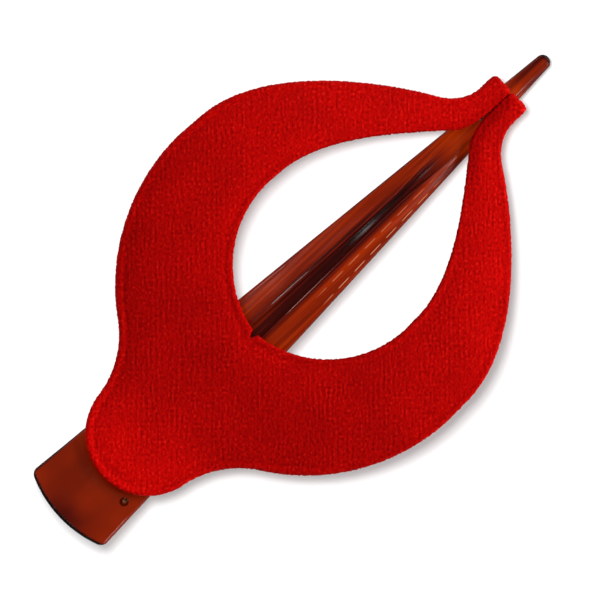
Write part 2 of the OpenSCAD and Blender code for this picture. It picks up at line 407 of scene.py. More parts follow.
def fill(loops, extra):
    """Triangles between the first loop and the others, through the extra points: the points,
    the triangles, and each loop's own points among them."""
    owned, first = [], 0
    for loop in loops:
        owned.append(range(first, first + len(loop)))
        first += len(loop)
    edges = [edge for own in owned for edge in zip(own, [*own[1:], own[0]])]
    points = [Vector(p) for p in np.concatenate([*loops, extra]).tolist()]
    made = delaunay_2d_cdt(points, edges, [], 1, 1e-6)
    flat = np.array([tuple(p) for p in made[0]])
    faces = np.array(made[2])
    middle = flat[faces].mean(1)
    for hole in loops[1:]:
        outside = ~inside(hole, middle)
        faces, middle = faces[outside], middle[outside]
    where = {old: new for new, olds in enumerate(made[3]) for old in olds}
    return flat, faces, [np.array([where[i] for i in own]) for own in owned]


def loft(name, rings):
    """A closed tube through rings of points, with its ends capped."""
    shape = Shape()
    ids = [shape.add(ring) for ring in rings]
    shape.skin(ids)
    shape.faces += [ids[0].tolist(), ids[-1][::-1].tolist()]
    return shape.piece(name)


def evaluated(piece):
    return piece.evaluated_get(bpy.context.evaluated_depsgraph_get())


def combine(piece, tool, operation):
    """Joins the tool's mesh to the piece, or cuts it away."""
    step = piece.modifiers.new(operation, "BOOLEAN")
    step.object, step.operation, step.solver = tool, operation, "EXACT"
    mesh = bpy.data.meshes.new_from_object(evaluated(piece))
    piece.modifiers.clear()
    piece.data = mesh
    bpy.data.objects.remove(tool)


def shade(piece):
    piece.data.shade_smooth()
    piece.data.set_sharp_from_angle(angle=math.radians(38))


def cylinder(centre, axis, r, length):
    """A plain cutting tool for bores."""
    work = bmesh.new()
    bmesh.ops.create_cone(work, cap_ends=True, segments=40, radius1=r * MM, radius2=r * MM,
                          depth=length * MM)
    tool = tool_from(work)
    turn(tool, Vector(axis), "Z")
    tool.location = Vector(centre) * MM
    bpy.context.view_layer.update()
    return tool


def blocks(boxes, bevel):
    """One mesh of rounded boxes, each given as its middle and its three sizes."""
    work = bmesh.new()
    for middle, size in boxes:
        made = bmesh.ops.create_cube(work, size=1)["verts"]
        for v in made:
            v.co = Vector([(v.co[k] * size[k] + middle[k]) * MM for k in range(3)])
    bmesh.ops.bevel(work, geom=list(work.edges), offset=bevel * MM, segments=3, profile=0.5,
                    affect="EDGES")
    return tool_from(work)


def tube(name, path, r):
    """A round wire along a path, with domed ends."""
    tangents = unit(np.gradient(path, axis=0))
    side = np.cross(tangents[0], [0, 1, 0])
    side /= np.linalg.norm(side)
    angles = full_turn(14)
    rings = []
    for i, (p, t) in enumerate(zip(path, tangents)):
        side -= (side @ t) * t
        side /= np.linalg.norm(side)
        other = np.cross(t, side)
        ring = np.outer(np.cos(angles), side) + np.outer(np.sin(angles), other)
        if i == 0:
            rings += [p - t * r * math.sin(a) * 0.6 + ring * r * math.cos(a) for a in (1.2, 0.7)]
        rings.append(p + ring * r)
        if i == len(path) - 1:
            rings += [p + t * r * math.sin(a) * 0.6 + ring * r * math.cos(a) for a in (0.7, 1.2)]
    return loft(name, rings)


# --- Materials ---


class Nodes:
    """A material's or world's node tree, with short calls for the nodes of its look. The last
    node is its shader."""

    def __init__(self, owner, last, coordinates):
        owner.use_nodes = True
        self.owner, self.tree = owner, owner.node_tree
        self.last = self.tree.nodes[last]
        self.place = self.node("TexCoord").outputs[coordinates]

    def put(self, socket, value):
        if isinstance(value, bpy.types.NodeSocket):
            self.tree.links.new(value, socket)
        else:
            socket.default_value = value

    def node(self, kind, settings=(), **inputs):
        """A node with its settings, given as (name, value) pairs, and its inputs."""
        made = self.tree.nodes.new("ShaderNode" + kind)
        for name, value in settings:
            setattr(made, name, value)
        for name, value in inputs.items():
            self.put(made.inputs[name.replace("_", " ")], value)
        return made

    def axis(self, name):
        return self.node("SeparateXYZ", Vector=self.place).outputs[name]

    def noise(self, size, detail, stretch=(1, 1, 1)):
        """Noise whose features are about this many millimetres wide."""
        scale = [s / (size * MM) for s in stretch]
        mapped = self.node("Mapping", Vector=self.place, Scale=scale).outputs["Vector"]
        made = self.node("TexNoise", Vector=mapped, Scale=1.0, Detail=detail, Roughness=0.55)
        return made.outputs["Fac"]

    def attribute(self, name):
        return self.node("Attribute", [("attribute_name", name)]).outputs["Fac"]

    def ramp(self, value, stops):
        """A colour ramp through (position, colour) stops."""
        made = self.node("ValToRGB", Fac=value)
        band = made.color_ramp
        band.elements[0].position, band.elements[1].position = stops[0][0], stops[-1][0]
        for position, _ in stops[1:-1]:
            band.elements.new(position)
        for element, (_, colour) in zip(band.elements, stops):
            element.color = (*colour, 1)
        return made.outputs["Color"]

    def spread(self, value, low, high, to_low=0.0, to_high=1.0, kind="LINEAR"):
        made = self.node("MapRange", [("interpolation_type", kind)], Value=value,
                         From_Min=low, From_Max=high, To_Min=to_low, To_Max=to_high)
        return made.outputs["Result"]

    def maths(self, operation, a, b=0.0):
        made = self.node("Math", [("operation", operation)])
        self.put(made.inputs[0], a)
        self.put(made.inputs[1], b)
        return made.outputs[0]

    def mix(self, factor, a, b, blend="MIX"):
        settings = [("data_type", "RGBA"), ("blend_type", blend)]
        return self.node("Mix", settings, Factor=factor, A=a, B=b).outputs["Result"]

    def bump(self, height, depth):
        """Bump whose full height is this many millimetres."""
        made = self.node("Bump", Height=height, Distance=depth * MM, Strength=1.0)
        return made.outputs["Normal"]

    def finish(self, **inputs):
        for name, value in inputs.items():
            self.put(self.last.inputs[name.replace("_", " ")], value)
        return self.owner

    def grained(self, grain, dark, pale, depth, **inputs):
        """Finishes a material whose colour and bump both follow one grain."""
        colour = self.ramp(grain, [(0.3, dark), (0.7, pale)])
        return self.finish(Base_Color=colour, Normal=self.bump(grain, depth), **inputs)


def new_material(name, **inputs):
    m = Nodes(bpy.data.materials.new(name), "Principled BSDF", "Object")
    m.finish(**inputs)
    return m


def crepe_material():
    """Red silk crepe with a soft sheen. Its colour has painted shade between its pebbled ribs and
    is painted paler on their tops.
    """
    m = new_material("red_crepe", Sheen_Weight=0.06, Sheen_Roughness=0.4,
                     Sheen_Tint=(1.0, 0.05, 0.04, 1), Specular_IOR_Level=0.05)
    # Painted shade: the colour follows the crepe's relief, darker in its valleys and paler on its
    # tops.
    ribs = m.ramp(m.attribute("relief"), [
        (0.0, (0.24, 0.0003, 0.0002)), (0.35, (0.40, 0.0008, 0.0005)),
        (0.65, (0.51, 0.0018, 0.0010)), (1.0, (0.72, 0.009, 0.006))])
    mottle_and_lobe_light = m.spread(m.noise(9, 2), 0.3, 0.7, 0.88, 1.06)
    # Painted light: the random mottling is multiplied by a gradient that paints the crepe up to 1.2
    # times paler round the lobe.
    mottle_and_lobe_light = m.maths("MULTIPLY", mottle_and_lobe_light, m.spread(m.axis("X"), -48 * MM, -36 * MM, 1.2, 1.0))
    grain = m.spread(m.noise(0.32, 2), 0.25, 0.75, 0.88, 1.12)
    shade_of = m.maths("MULTIPLY", mottle_and_lobe_light, grain)
    colour = m.mix(1.0, ribs, shade_of, "MULTIPLY")
    rough = m.spread(m.noise(0.5, 2), 0.3, 0.7, 0.62, 0.85)
    normal = m.bump(m.noise(0.24, 2), 0.05)
    return m.finish(Base_Color=colour, Roughness=rough, Normal=normal)


def tooth_glints(m):
    """Two rows of thin pale dashes where the edges of the teeth catch light, up to 1."""
    along = m.maths("ADD", m.axis("X"), 0.2 * MM)
    along = m.maths("FLOORED_MODULO", along, GLINT_PITCH * MM)
    start = m.spread(along, 0.0, 0.5 * MM)
    end = m.spread(along, 2.7 * MM, 3.3 * MM, 1.0, 0.0)
    rows = []
    for share, strength in GLINT_ROWS:
        off = m.maths("ABSOLUTE", m.maths("ADD", m.attribute("share"), share))
        rows.append(m.spread(off, 0.005, 0.022, strength, 0.0))
    dashes = m.maths("MULTIPLY", m.maths("MULTIPLY", start, end), m.maths("ADD", *rows))
    return m.maths("MULTIPLY", dashes, m.attribute("toothed"))


def plastic_material(name, tint):
    """Brown tortoiseshell plastic with drawn-out dark streaks, whose tone carries painted light
    through the plastic, painted shade and painted highlights.
    """
    m = new_material(name, IOR=1.49, Transmission_Weight=0.18)
    tone = m.attribute("tone")
    streak = m.spread(m.noise(8, 2, (0.5, 1, 1)), 0.3, 0.7, -0.07, 0.07)
    lines = m.spread(m.noise(0.8, 2, (0.02, 1, 0.02)), 0.35, 0.7, -0.16, 0.14)
    lines = m.maths("MULTIPLY", lines, m.attribute("drawn"))
    pale = m.maths("ADD", m.maths("ADD", tone, streak), lines)
    colour = m.ramp(pale, [
        (0.0, (0.004, 0.001, 0.001)), (0.3, (0.055, 0.003, 0.0015)),
        (0.62, (0.25, 0.015, 0.001)), (0.84, (0.40, 0.032, 0.001)),
        (1.0, (0.72, 0.035, 0.001))])
    colour = m.mix(1.0, colour, tint, "MULTIPLY")
    colour = m.mix(tooth_glints(m), colour, (0.95, 0.42, 0.22, 1))
    scratches = m.spread(m.noise(1.6, 4, (0.15, 1.5, 0.3)), 0.45, 0.8, 0.07, 0.22)
    normal = m.bump(m.noise(5, 2, (0.3, 1, 0.3)), 0.05)
    return m.finish(Base_Color=colour, Roughness=scratches, Normal=normal)


def steel_material(name, metallic, dark, pale):
    """Drawn steel: bright on the pin; on the spring browned by its heat treatment, and paler orange
    as a painted reflection of the plastic.
    """
    m = new_material(name, Metallic=metallic)
    rough = m.spread(m.noise(2.5, 4), 0.3, 0.7, 0.22, 0.38)
    return m.grained(m.noise(0.5, 3, (0.2, 1, 1)), dark, pale, 0.01, Roughness=rough)


def glue_material():
    m = new_material("clear_glue", IOR=1.47, Transmission_Weight=0.45, Roughness=0.45)
    cloudy = m.ramp(m.noise(2.2, 3), [(0.3, (0.72, 0.66, 0.52)), (0.7, (0.86, 0.82, 0.72))])
    return m.finish(Base_Color=cloudy, Normal=m.bump(m.noise(1.6, 3), 0.12))


def weave(m, pitch):
    """Height of a plain weave: warp threads that pass over and under the weft."""
    turned = m.node("Mapping", Vector=m.place, Scale=[math.pi / (pitch * MM)] * 3,
                    Rotation=(0, 0, math.radians(43)))
    steps = m.node("SeparateXYZ", Vector=turned.outputs["Vector"])
    warp, weft = (m.maths("SINE", steps.outputs[k]) for k in ("X", "Y"))
    over = m.maths("MULTIPLY", warp, weft)
    threads = m.maths("MAXIMUM", m.maths("ABSOLUTE", warp), m.maths("ABSOLUTE", weft))
    return m.maths("ADD", m.maths("MULTIPLY", over, 0.5), threads)


def lining_material():
    """Plain-woven dark red cotton."""
    m = new_material("lining_cloth", Sheen_Weight=0.15, Roughness=0.85)
    threads = weave(m, 0.42)
    worn = m.spread(m.noise(6, 3), 0.3, 0.7, 0.8, 1.1)
    colour = m.ramp(threads, [(0.1, (0.09, 0.002, 0.003)), (1.2, (0.30, 0.010, 0.012))])
    colour = m.mix(1.0, colour, worn, "MULTIPLY")
    return m.finish(Base_Color=colour, Normal=m.bump(threads, 0.06))


def fibre_material(name, size, detail, across, dark, pale, depth, **inputs):
    """Pressed or fluffy fibres, drawn out across the clip."""
    m = new_material(name, **inputs)
    return m.grained(m.noise(size, detail, (across, 1.6, 1)), dark, pale, depth)


# --- Jaws ---


def jaw_stations(rear, tip, tip_r, fine):
    """Places along a jaw, close together at its round ends and over the spans in fine."""
    ends = rear + 0.6 * (1 - np.cos(np.radians(np.arange(0, 91, 15))))
    nose = tip - tip_r + tip_r * np.sin(np.radians(np.arange(0, 90, 10)))
    places = [ends, np.arange(rear + 0.8, rear + 2, 0.25), np.arange(rear + 2, tip - tip_r, 1.0),
              nose, [tip - 0.004]]
    places += [np.arange(*span) for span in fine]
    found = np.sort(np.concatenate(places))
    return found[np.concatenate([[True], np.diff(found) > 0.004])]


def bracket_drop(x, root, r):
    """A bracket's free edge: the height of its straight flanks, from its root to the pin, and
    how far its round about the pin reaches past them."""
    x0, x1, root_z = root
    rear = np.interp(x, [x0, PIN_X - r], [root_z, PIN_Z])
    front = np.interp(x, [PIN_X + r, x1], [PIN_Z, root_z])
    off = np.clip(np.abs(x - PIN_X) / r, 0, 1)
    flank = np.where(x < PIN_X, rear, front)
    return flank, r * np.sqrt(1 - off**2)


def upper_edge(x):
    """Height of the lower edge of the upper jaw's tab, lugs and side walls."""
    top = top_line(x)
    plate = top - ROOF_T
    meets = low_line(x) + FLOOR_T + RIM_H + TIP_GAP
    wall = max(top - JAW_DEPTH, meets)
    edge = plate + (wall - plate) * smooth(PIN_X - 9.6, PIN_X - 8.6, x)
    if BRACKET_ROOT[0] < x < BRACKET_ROOT[1]:
        flank, reach = bracket_drop(x, BRACKET_ROOT, LUG_R)
        edge = min(edge, flank - reach)
    return edge


def groove_shape(x):
    """Half width and depth of the groove along the beak's top."""
    half = np.interp(x, [-16, 14, 25, 32, 38], [1.45, 0.9, 0.72, 1.15, 1.3])
    depth = GROOVE_CUT * (smooth(-17, -15, x) * (1 - smooth(27, 40, x)))
    return half, depth


def round_off(ys, zs, y, z, r, degrees):
    """Adds a round about (y, z) to a section."""
    for a in np.radians(degrees):
        ys.append(y + r * math.cos(a))
        zs.append(z + r * math.sin(a))


def jaw_half_width(x, back, corner_r):
    """Half width of a jaw that stands back this far from the clip's outline."""
    tip_r, tip_left = TIP_HALF_W - back, TIP_X - back - x
    if tip_left < tip_r:
        return math.sqrt(max(tip_r**2 - (tip_r - tip_left) ** 2, 1e-4))
    return half_width(x) - back - retreat(x - (REAR_X + back), corner_r)


def upper_section(x):
    """Half of the upper jaw's section at x, from the middle of its underside to its top's."""
    tip_left, w = TIP_X - x, jaw_half_width(x, 0, CORNER_R)
    top = top_line(x) - retreat(x - REAR_X, 0.6) - retreat(tip_left, 0.9)
    low = upper_edge(x) + (retreat(x - REAR_X, 0.5) + retreat(tip_left, 0.7))
    hollow = smooth(-46.2, -45.2, x) * (1 - smooth(51.5, 52.5, x))
    roof = low + (top_line(x) - ROOF_T - low) * hollow
    crown = min(0.35 + 0.55 * smooth(-34, -12, x), 0.3 * w)
    inner = max(w - WALL_T, 0.45 * w)
    ys = [0, 0.35 * inner, 0.7 * inner, inner - 0.3 * min(w, 1), inner - 0.12 * min(w, 1), inner]
    zs = [roof + (low - roof) * t for t in (0, 0, 0, 0.04, 0.5, 1)]
    room = top - crown - low
    toe, shoulder = min(0.3, 0.3 * room, 0.3 * w), min(0.75, 0.5 * room, 0.5 * w)
    round_off(ys, zs, w - toe, low + toe, toe, [-90, -60, -30, 0])
    knee = w - shoulder
    knee_z = top - crown * (knee / w) ** 2
    round_off(ys, zs, knee, knee_z - shoulder, shoulder, [0, 20, 40, 60, 78])
    half, depth = groove_shape(x)
    half = min(half, 0.5 * knee)
    rows = np.concatenate([np.linspace(knee, 1.6 * half, 7),
                           half * np.array([1.42, 1.26, 1.12, 1.02, 0.93, 0.84, 0.7, 0.45, 0])])
    for y in rows:
        lip = 0.13 * math.exp(-((y / half - 1.24) / 0.16) ** 2) * depth / GROOVE_CUT
        cut = depth * (1 - smooth(0.8, 1.08, y / half))
        ys.append(y)
        zs.append(top - crown * (y / w) ** 2 - cut + lip)
    return np.array(ys), np.array(zs)


def rear_arc(y):
    """How far the arc of the jaws' rear edge stands forward at y."""
    return REAR_ARC_R - np.sqrt(REAR_ARC_R**2 - y**2)


def ring_of(x, half, rear):
    """A whole ring at x from half a section, curved as the jaw's rear edge is."""
    ys, zs = (np.concatenate([h, sign * h[-2:0:-1]]) for h, sign in zip(half, (-1, 1)))
    bend = 1 - smooth(rear, rear + 14, x)
    return np.stack([x + bend * rear_arc(ys), ys, zs], 1)


def toothed_jaw(name, section, back, fine, teeth, play):
    """A jaw lofted through its sections, with its teeth on it and its bore for the pin."""
    rear = REAR_X + back
    xs = jaw_stations(rear, TIP_X - back, TIP_HALF_W - back, fine)
    jaw = loft(name, [ring_of(x, section(x), rear) for x in xs])
    combine(jaw, blocks(teeth, TOOTH_BEVEL), "UNION")
    combine(jaw, cylinder((PIN_X, 0, PIN_Z), (0, 1, 0), PIN_R + play, 30), "DIFFERENCE")
    return jaw


def upper_jaw():
    fine = [
        (-47, -44.4, 0.2), (PIN_X - LUG_R - 0.6, PIN_X - LUG_R + 0.6, 0.1),
        (PIN_X - LUG_R, PIN_X + LUG_R, 0.3), (PIN_X + LUG_R - 0.6, PIN_X + LUG_R + 0.6, 0.1),
        (-18, -14, 0.4), (26, 40, 0.5), (51, 53, 0.2)]
    teeth = []
    for i in range(TEETH):
        mid = i * TOOTH_PITCH + TOOTH_LEN / 2
        w = half_width(mid)
        inner, outer = 0.42 * w, w - WALL_T + 0.3
        low, high = upper_edge(mid) - TOOTH_DROP, top_line(mid) - ROOF_T + 0.5
        for side in (-1, 1):
            teeth.append(((mid, side * (inner + outer) / 2, (low + high) / 2),
                          (TOOTH_LEN, outer - inner, high - low)))
    jaw = toothed_jaw("upper_jaw_shell", upper_section, 0, fine, teeth, FIXED_PLAY)
    combine(jaw, cylinder((*HOLE_AT, 15), (0, 0, 1), HOLE_R, 12), "DIFFERENCE")
    return jaw


def lower_section(x):
    """Half of the lower jaw's section at x, from the middle of its underside to its floor's."""
    w = jaw_half_width(x, LOWER_INSET, 0.9)
    ends = retreat(x - (REAR_X + LOWER_INSET), 0.5) + retreat(TIP_X - LOWER_INSET - x, 0.7)
    low = low_line(x) + ends
    rim_h = RIM_H * smooth(RIM_START - 0.4, RIM_START, x)
    rim = low_line(x) + FLOOR_T + rim_h - ends
    start, end = FLOOR_HOLLOW
    open_floor = smooth(start - 0.3, start, x) * (1 - smooth(end, end + 0.3, x))
    floor = rim - rim_h * open_floor
    inner = max(w - FLOOR_WALL_T, 0.5 * w)
    ear = floor
    if EAR_ROOT[0] < x < EAR_ROOT[1]:
        flank, reach = bracket_drop(x, EAR_ROOT, EAR_R)
        ear = max(floor, flank + reach)
    toe, edge = min(0.4, 0.3 * w), min(0.3, 0.25 * w)
    ys, zs = [0, 0.4 * w, 0.75 * w], [low] * 3
    round_off(ys, zs, w - toe, low + toe, toe, [-90, -60, -30, 0])
    round_off(ys, zs, w - edge, rim - edge, edge, [0, 30, 60, 90])
    out_y, in_y = min(EAR_OUT_Y, inner - 0.2 * min(w, 1)), min(EAR_IN_Y, 0.75 * inner)
    soft = 0.08 * min(w, 1)
    ys += [inner, inner - soft, out_y + soft, out_y, out_y - soft, in_y + soft, in_y, in_y - soft,
           0.5 * inner, 0]
    zs += [rim, floor, floor, ear - 0.1 * (ear > floor), ear, ear, ear - 0.1 * (ear > floor),
           floor, floor, floor]
    return np.array(ys), np.array(zs)


def lower_jaw():
    fine = [
        (EAR_ROOT[0] - 0.1, PIN_X - EAR_R + 0.5, 0.12), (PIN_X - EAR_R, PIN_X + EAR_R, 0.3),
        (PIN_X + EAR_R - 0.5, EAR_ROOT[1] + 0.1, 0.12), (-28.6, -25.8, 0.1), (49.8, 50.5, 0.1)]
    teeth = []
    for i in range(TEETH - 1):
        mid = MID_TOOTH_X + i * TOOTH_PITCH
        base = low_line(mid) + FLOOR_T
        teeth.append(((mid, 0, base + MID_TOOTH_RISE / 2 - 0.25),
                      (MID_TOOTH_LEN, 0.56 * half_width(mid), MID_TOOTH_RISE + 0.5)))
    return toothed_jaw("lower_jaw_shell", lower_section, LOWER_INSET, fine, teeth, TURNING_PLAY)


def set_tone(jaw):
    """How pale the plastic is painted. On the tab, painted light makes the edges and the side
    facing the key paler and paints out the petal's shadow near the lobe, and painted shade darkens
    the middle of the rear edge. The beak has brown flanks and painted shade down its middle,
    between lips with painted highlights, and is painted paler where it passes under the arms. Dark
    lines run along the rims, and the tone is darker towards the nose. Also marks the drawn-out part
    and the stretch where the painted tooth glints show."""
    x, y = coordinates(jaw).T[:2]
    share = y / np.maximum(half_width(x), 0.5)
    out = np.clip(np.abs(share), 0, 1)
    edge = x - REAR_X - rear_arc(y)
    # Painted light: the tab is paler towards its edges, as light through the thin plastic, and
    # paler on the side that faces the key light.
    tab = 0.50 + 0.07 * smooth(0.45, 0.95, out) - 0.04 * smooth(0, 0.6, share)
    # Painted light: the tab is paler near the lobe's edge on the +Y side, painting out the shadow
    # that the petal casts on it.
    lobe_gap = np.hypot(x - LOBE_C[0], y) - LOBE_R
    tab += 0.12 * smooth(6, 1, lobe_gap) * smooth(-8, 2, y)
    # Painted shade: darker in the middle of the tab's rear edge.
    tab -= 0.2 * smooth(6, 1, edge) * np.exp(-((y + 1.5) / 4.5) ** 2)
    tab -= 0.5 * smooth(0.75, 0.3, edge) + 0.35 * smooth(0.955, 0.985, share)
    # Painted shade: the beak is painted dark down its middle, standing for the dark inside of the
    # clip seen through the plastic, darkest near x = 12.
    middle = 1 - smooth(0.16, 0.5, np.abs(share + 0.03))
    dark = 0.30 + 0.22 * np.exp(-((x - 12) / 15) ** 2)
    half = np.array([groove_shape(p)[0] for p in x.tolist()])
    # Painted highlight: paler lines along the groove's lips, where they catch light.
    lip = np.exp(-((np.abs(y) / half - 1.24) / 0.14) ** 2) * smooth(-14, -4, x)
    beak = 0.64 - dark * middle * (1 - smooth(30, 42, x))
    # Adds the lips' painted highlight, and painted light that makes the beak paler where it passes
    # under the arms from x = 35 on; the last term paints a dark line along the beak's edge.
    beak += (0.16 * lip * (1 - smooth(32, 38, x)) + 0.26 * smooth(35, 44, x)
             - 0.25 * smooth(0.93, 0.98, share) * smooth(8, 20, x))
    front = smooth(-30, -18, x)
    nose = 0.44 * smooth(50, 60, x) + 0.40 * smooth(TIP_X - 1.2, TIP_X - 0.2, x)
    tone = tab * (1 - front) + beak * front - nose
    toothed = smooth(-1, 4, x) * (1 - smooth(30, 35, x)) * (jaw.name == "upper_jaw_shell")
    set_attributes(jaw, tone=tone, drawn=front, share=share, toothed=toothed)


# --- Pin and spring ---


def hinge_pin():
    """A drawn pin with bevelled, slightly domed ends."""
    half, r, bevel = PIN_HALF, PIN_R, 0.18
    profile = [(half, 0.25 * r), (half - 0.01, 0.6 * r), (half - 0.04, r - bevel),
               (half - 0.1, r - 0.06), (half - bevel - 0.06, r)]
    profile += [(y, r) for y in np.linspace(half - 1, 1 - half, 9)]
    profile += [(-y, rr) for y, rr in profile[4::-1]]
    angles = full_turn(48)
    rings = [np.stack([PIN_X + rr * np.cos(angles), np.full(48, y), PIN_Z + rr * np.sin(angles)], 1)
             for y, rr in profile]
    return loft("hinge_pin_steel", rings)


def spring_path():
    """The wire's centre line: a leg on the lower tab, the coil, a leg hooked into the upper tab."""
    hole_x, hole_y = HOLE_AT
    low = [(PIN_X - 16, 4.6, FLOOR_T + WIRE_R + 0.1), (PIN_X - 12, 4.0, 3.0),
           (PIN_X - 8, 3.4, 4.2), (PIN_X - 4, 2.75, 5.35)]
    turn = np.radians(np.arange(-90, -90 + 360 * COIL_TURNS + 1, 10))
    y = np.linspace(COIL_HALF, -COIL_HALF, len(turn))
    coil = np.stack([PIN_X + COIL_R * np.cos(turn), y, PIN_Z + COIL_R * np.sin(turn)], 1)
    high = [(PIN_X - 4, -2.85, 10.2), (PIN_X - 8, -3.5, 11.0), (PIN_X - 12.5, -4.8, 12.0),
            (hole_x + 1.6, hole_y + 0.25, 12.75), (hole_x + 0.6, hole_y + 0.07, 13.1),
            (hole_x + 0.1, hole_y, 13.6), (hole_x, hole_y, 14.7)]
    return np.concatenate([rounded(low, 6)[:-1], coil, rounded(high, 6)[1:]])


def rounded(points, n):
    """A smooth curve through the points, n steps to each stretch."""
    p = np.asarray(points, float)
    p = np.concatenate([[2 * p[0] - p[1]], p, [2 * p[-1] - p[-2]]])
    made = []
    for a, b, c, d in zip(p, p[1:], p[2:], p[3:]):
        for t in np.linspace(0, 1, n, endpoint=False):
            made.append(0.5 * (2 * b + (c - a) * t + (2 * a - 5 * b + 4 * c - d) * t * t
                               + (3 * b - a - 3 * c + d) * t**3))
    return np.array(made + [p[-2]])


# --- Petal ---

OUTLINE = spaced(petal_outline(), 0.3)
COARSE_OUTLINE = spaced(petal_outline(), 1.0)
INNER_EDGE = spaced(mirrored(inner_edge()), 1.0)

# Height of the cover above the petal's back: a rolled rim, a groove inside it, then the pad
BEAD_AT, BEAD_R, BEAD_TOP, GROOVE_AT, GROOVE_DEPTH = 0.75, 0.84, 2.42, 1.5, 0.18
PAD_RISE, PAD_START, RELIEF_H, EDGE_RELIEF_H = 0.9, 1.3, 0.14, 0.30
# Heights of the turned-under hem's two faces, and the crepe's thickness over the wadding
HEM_LOW, HEM_TOP, CREPE_T = 0.42, 0.7, 0.32
CLOTH_FRAMES = 20


def drift(points, size, seed):
    """Noise over the petal's plane, in patches of about this size."""
    return np.array([noise.noise(Vector((x / size, y / size, seed))) for x, y in points.tolist()])


def rim_height(points, d):
    """Height of the rolled rim at distance d from the edge, down to the groove inside it,
    which is clear round the lobe and faint towards the arms."""
    rise = np.sqrt(np.clip(1 - ((d - BEAD_AT) / BEAD_R) ** 2, 0, 1))
    outer = BEAD_TOP - BEAD_R * (1 - rise)
    depth = GROOVE_DEPTH * (1 - 0.75 * smooth(-30, -5, points[:, 0]))
    inner = BEAD_TOP - depth * smooth(BEAD_AT, GROOVE_AT, d)
    return np.where(d < BEAD_AT, outer, inner)


def simulated_pad():
    """Cloth pinned along the rim and blown up from below: how far the pad pushes it up. The
    petal is flat and ten times its size, as Cloth works best near a metre."""
    grow, step = 0.01, 1.25
    grid = within(COARSE_OUTLINE, lattice(step, step), PAD_START + 0.5)
    rim = within(COARSE_OUTLINE, inset(COARSE_OUTLINE, PAD_START), PAD_START - 0.1)
    flat, faces, _ = fill([COARSE_OUTLINE], np.concatenate([rim, grid]))
    held = distance_to(COARSE_OUTLINE, flat) < PAD_START + 0.1
    mesh = bpy.data.meshes.new("pad_cloth")
    mesh.from_pydata([(x * grow, y * grow, 0) for x, y in flat], [], faces.tolist())
    sheet = add_object("pad_cloth", mesh)
    sheet.vertex_groups.new(name="held").add(np.flatnonzero(held).tolist(), 1.0, "REPLACE")
    cloth = sheet.modifiers.new("cloth", "CLOTH").settings
    cloth.quality, cloth.mass, cloth.vertex_group_mass = 6, 0.3, "held"
    cloth.tension_stiffness = cloth.compression_stiffness = 12
    cloth.bending_stiffness = 0.8
    cloth.use_pressure, cloth.uniform_pressure_force = True, 4
    cloth.effector_weights.gravity = 0
    for f in range(1, 1 + CLOTH_FRAMES):
        bpy.context.scene.frame_set(f)
    co = read(evaluated(sheet).to_mesh().vertices, "co") / grow
    bpy.context.scene.frame_set(1)
    bpy.data.objects.remove(sheet)
    if co[:, 2].sum() < 0:
        co[:, 2] *= -1
    rise = PAD_RISE * np.tanh(1.3 * co[:, 2] / np.percentile(co[~held, 2], 70))
    return BVHTree.FromPolygons(np.column_stack([flat, rise]).tolist(), faces.tolist())


PAD_TREE = simulated_pad()


def pad_rise(points, d):
    """How far the wadding lifts the cover above its groove."""
    if PAD_TREE is None:
        return PAD_RISE * (1 - np.exp(-np.clip(d - PAD_START, 0, None) / 1.7))
    hits = (PAD_TREE.ray_cast(Vector((x, y, 10)), Vector((0, 0, -1)))[0] for x, y in points)
    return np.array([hit[2] if hit else 0.0 for hit in hits])


def cover_height(points, d):
    """Height of the cover's outer face above the petal's back."""
    pad = pad_rise(points, d) * (1 + 0.10 * drift(points, 9, 3.7))
    return rim_height(points, d) + pad * smooth(PAD_START - 0.1, PAD_START + 1.0, d)


def settle(points, z):
    """Heights above the petal's back, changed on the arms: they slope down to the opening and
    to their seam, and one lies a little higher than the other."""
    x, y = points.T
    inner = distance_to(INNER_EDGE, points)
    slope = 1.7 + 0.45 * smooth(0, 0.35, inner) + 1.05 * smooth(0.5, 3.6, inner)
    z = z + (np.minimum(z, slope) - z) * smooth(12, 40, x)
    return z + 0.25 * smooth(42, 47, x) * (y > 0) * smooth(0.9, 1.3, z)


def arm_shade(points):
    """How much painted shade deepens the crepe's colour on the arms' slopes down to the seam."""
    x, y = points.T
    reach, depth = np.where(y > 0, 2.4, 3.4), np.where(y > 0, 0.16, 0.30)
    inner = distance_to(INNER_EDGE, points)
    return depth * smooth(1, 0.25, inner / reach) * smooth(34, 43, x)


# The crepe's noises, as (size across the ribs, size along them, seed)
CREPE_PATCHES = (3.1, 2.3, 0.0), (6.0, 6.0, 8.0), (0.36, 0.50, 5.0)


def crepe(points):
    """Relief of the crepe from 0 to 1: wavy ribs broken into pebbles."""
    a, b = points @ ACROSS_DIR, points @ RIB_DIR
    found = np.empty(len(points))
    for i, (u, v) in enumerate(zip(a.tolist(), b.tolist())):
        wander, patch, pebble = (noise.noise(Vector((u / across, v / length, seed))) for
                                 across, length, seed in CREPE_PATCHES)
        rib = math.cos(2 * math.pi * (u / 0.98 + 0.5 * wander))
        found[i] = 0.5 + (0.09 - 0.12 * patch) * rib + 0.72 * pebble
    return np.clip(found, 0, 1)


def petal_points(points, z):
    """The points at height z above the petal's back."""
    return np.column_stack([points, petal_line(points[:, 0]) + settle(points, z)])


